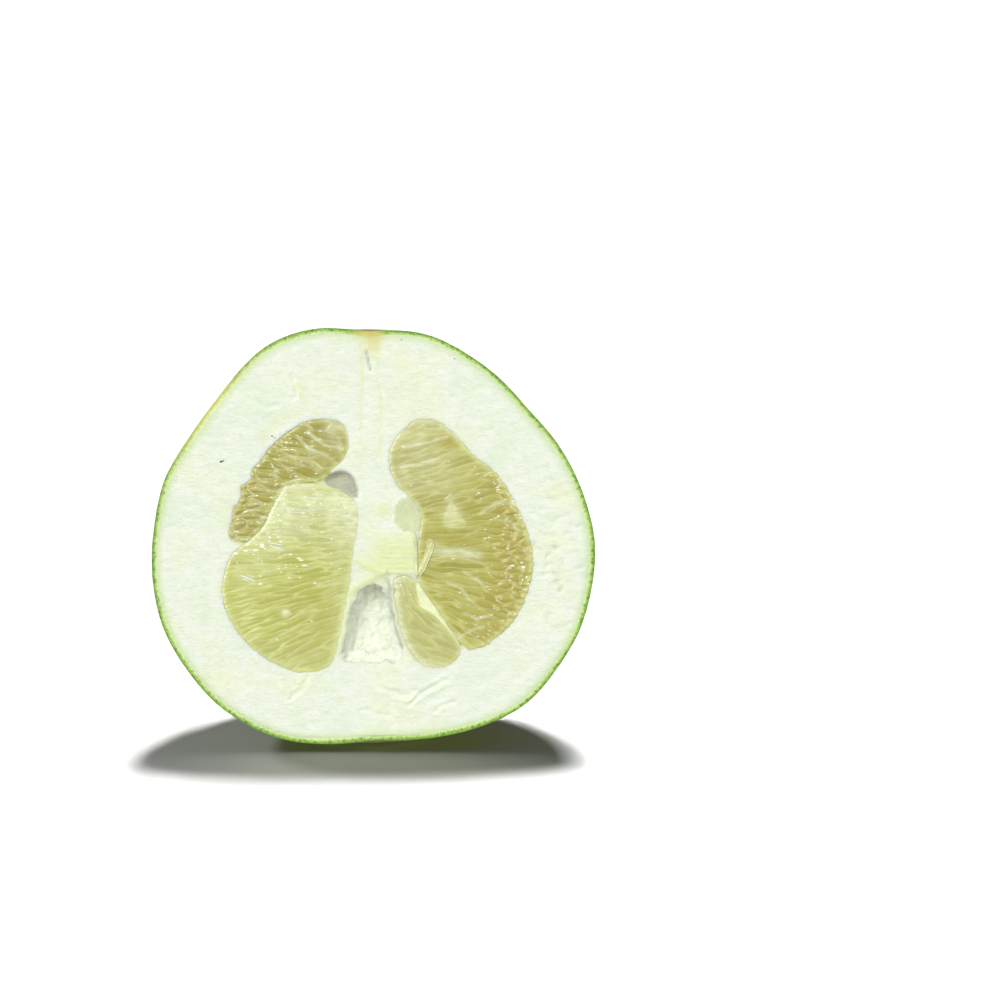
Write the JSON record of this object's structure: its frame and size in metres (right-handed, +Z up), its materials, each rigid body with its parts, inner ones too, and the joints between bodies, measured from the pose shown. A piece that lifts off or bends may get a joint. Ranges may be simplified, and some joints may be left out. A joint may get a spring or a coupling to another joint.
{
  "type": "half pomelo",
  "caption": "Half of a large thick-skinned citrus fruit, cut from stem to base, standing on its base with the pale flesh and white pith showing.",
  "frame": {"origin": "on the surface that the fruit stands on, under the middle of its bounding box", "axes": "+Z up, +X to the right as the cut face is looked at, +Y away from the cut face towards the round back; the cut face leans back by 8 degrees"},
  "size_m": [0.16, 0.09, 0.1515],
  "materials": {
    "zest": "waxy, finely pitted green rind",
    "pith": "soft spongy white, matte",
    "flesh": "wet, translucent pale yellow-green juice sacs",
    "membrane": "thin damp film"
  },
  "bodies": {
    "root": {"zest": "zest", "pith": "pith", "segment_left_upper": "flesh", "segment_left_main": "flesh", "segment_right_main": "flesh", "segment_right_lower": "flesh"}
  },
  "joints": []
}
